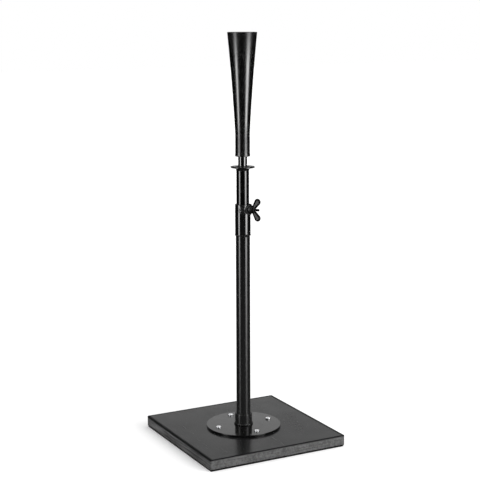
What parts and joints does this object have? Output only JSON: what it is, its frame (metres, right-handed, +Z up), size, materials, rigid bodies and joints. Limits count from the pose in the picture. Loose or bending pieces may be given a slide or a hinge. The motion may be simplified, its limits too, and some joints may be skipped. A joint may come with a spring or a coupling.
{
  "type": "batting tee",
  "caption": "Free-standing batting tee: square board, bolted steel flange, telescoping post with a wing-screw clamp and a flared rubber cone that holds a ball.",
  "frame": {"origin": "centre of the footprint, on the floor", "axes": "+Z up along the post; the sides of the square board lie along X and Y; the clamp screw points away from the post 57 degrees from +X towards -Y"},
  "size_m": [0.368, 0.368, 1.0041],
  "materials": {
    "board_paint": "black paint, satin top and rougher sides",
    "pad_rubber": "matte",
    "plate_paint": "gloss black",
    "tube_paint": "gloss black powder coat",
    "zinc_steel": "bright zinc plate",
    "black_steel": "black coated casting",
    "nylon": "matte",
    "pad_nylon": "natural nylon",
    "cone_rubber": "satin black"
  },
  "bodies": {
    "base": {"base_board": "board_paint", "foot_pads": "pad_rubber", "flange_plate": "plate_paint", "flange_bolts": "zinc_steel", "tee_nuts": "zinc_steel", "post_socket": "tube_paint", "socket_weld": "tube_paint", "lower_tube": "tube_paint", "locking_collar": "tube_paint", "collar_weld": "tube_paint", "clamp_boss": "tube_paint", "boss_weld": "tube_paint"},
    "slider": {"guide_bush": "nylon"},
    "upper_post": {"upper_tube": "tube_paint", "cap_disc": "tube_paint", "cap_weld": "tube_paint", "neck_tube": "tube_paint", "neck_plug": "nylon", "ball_rest": "cone_rubber"},
    "clamp_pad": {"thrust_pad": "pad_nylon"},
    "clamp_screw": {"clamp_stud": "black_steel", "wing_handle": "black_steel"}
  },
  "joints": [
    {"name": "height_slide", "type": "slide", "parent": "base", "child": "slider", "axis": [0, 0, 1], "range_m": [-0.083, 0.22]},
    {"name": "post_swivel", "type": "hinge", "parent": "slider", "child": "upper_post", "pos_m": [0, 0, 0.6805], "axis": [0, 0, 1], "continuous": true},
    {"name": "clamp_travel", "type": "slide", "parent": "base", "child": "clamp_pad", "axis": [0.5446, -0.8387, 0], "range_m": [0, 0.002]},
    {"name": "clamp_turn", "type": "hinge", "parent": "clamp_pad", "child": "clamp_screw", "pos_m": [0.01634, -0.02516, 0.579], "axis": [0.5446, -0.8387, 0], "range_deg": [0, 720.01]}
  ],
  "couplings": [
    {"joint": "clamp_turn", "follows": "clamp_travel", "rad_per_m": 6283.2}
  ]
}
